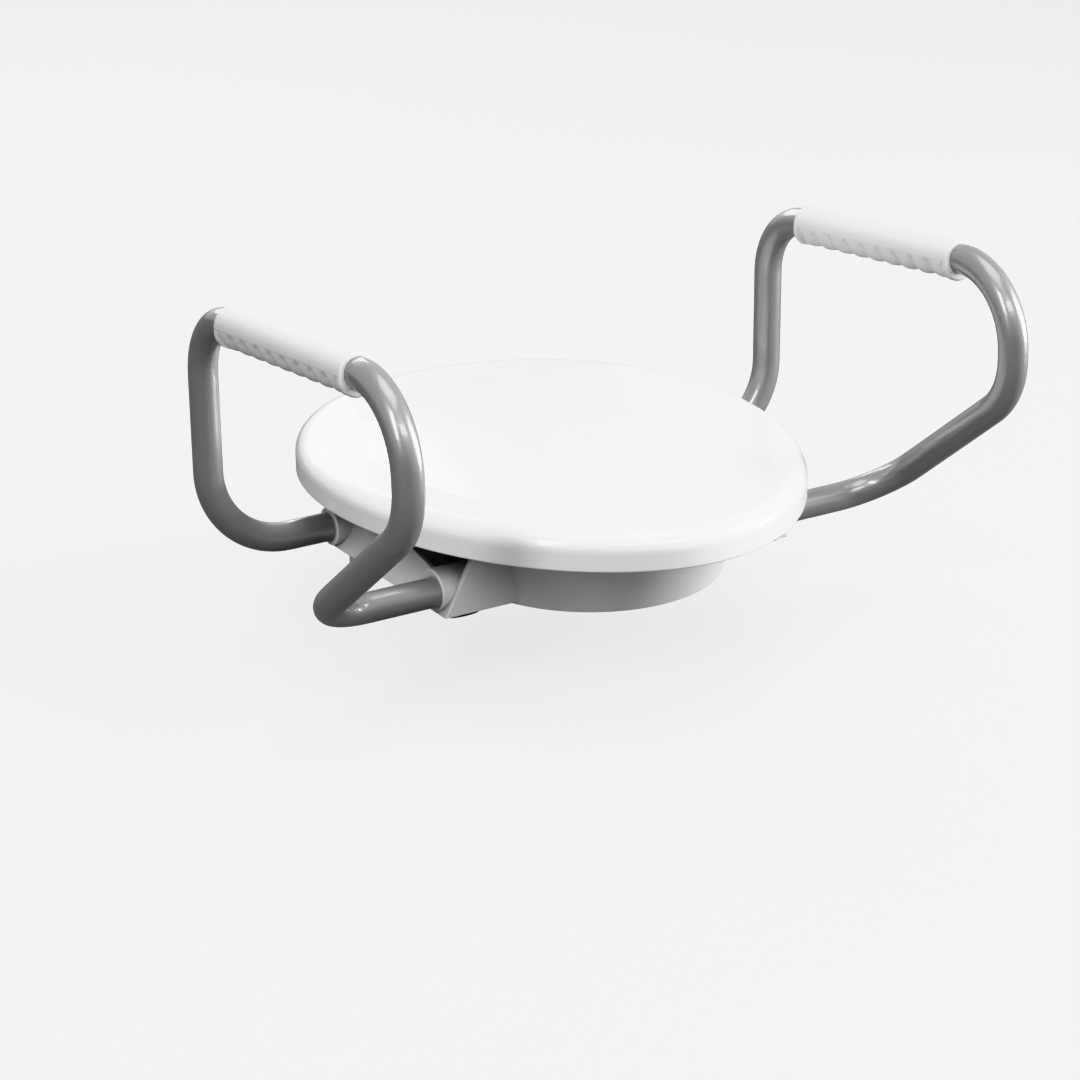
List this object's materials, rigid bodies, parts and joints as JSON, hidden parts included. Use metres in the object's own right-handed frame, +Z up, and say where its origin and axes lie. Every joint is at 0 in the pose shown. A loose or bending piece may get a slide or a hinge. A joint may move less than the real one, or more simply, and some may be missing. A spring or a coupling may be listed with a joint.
{
  "type": "raised toilet seat",
  "caption": "Raised toilet seat with cover, splash shield, two bent-tube support arms with hand grips, and rear hinges that bolt to the bowl.",
  "frame": {"origin": "on the plane of the bowl rim's top, midway between the two mounting bolts", "axes": "+Z up, -Y to the seat's front, +X to the sitter's left; the object is symmetric about X = 0"},
  "size_m": [0.5344, 0.4456, 0.3098],
  "materials": {
    "white_gloss": "smooth gloss moulded plastic, white",
    "white_satin": "satin moulded plastic, white",
    "grey_paint": "gloss grey paint on steel tube",
    "grip": "matt moulded soft vinyl, white",
    "grey_rubber": "matt moulded rubber, grey",
    "black_plastic": "plain black plastic",
    "steel": "plain stainless steel"
  },
  "bodies": {
    "hinge_mount": {"left_hinge_post": "white_satin", "right_hinge_post": "white_satin", "left_hinge_pad": "grey_rubber", "right_hinge_pad": "grey_rubber", "left_hinge_pin": "steel", "right_hinge_pin": "steel", "left_mounting_bolt": "steel", "right_mounting_bolt": "steel", "left_bolt_bushing": "grey_rubber", "right_bolt_bushing": "grey_rubber", "left_bolt_nut": "steel", "right_bolt_nut": "steel", "hinge_clips": "steel", "bolt_washers": "steel"},
    "seat": {"seat_ring": "white_gloss", "riser": "white_satin", "ring_screws": "steel", "left_front_bumper": "grey_rubber", "right_front_bumper": "grey_rubber", "left_rear_bumper": "grey_rubber", "right_rear_bumper": "grey_rubber", "left_arm_tube": "grey_paint", "right_arm_tube": "grey_paint", "left_grip": "grip", "right_grip": "grip", "left_tube_plugs": "black_plastic", "right_tube_plugs": "black_plastic", "left_arm_screws": "steel", "right_arm_screws": "steel"},
    "lid": {"cover": "white_gloss", "cover_bumpers": "white_satin"}
  },
  "joints": [
    {"name": "seat_hinge", "type": "hinge", "parent": "hinge_mount", "child": "seat", "pos_m": [0, 0.008, 0.05], "axis": [-1, 0, 0], "range_deg": [0, 95]},
    {"name": "cover_hinge", "type": "hinge", "parent": "seat", "child": "lid", "pos_m": [0, 0.008, 0.05], "axis": [-1, 0, 0], "range_deg": [0, 100]}
  ]
}
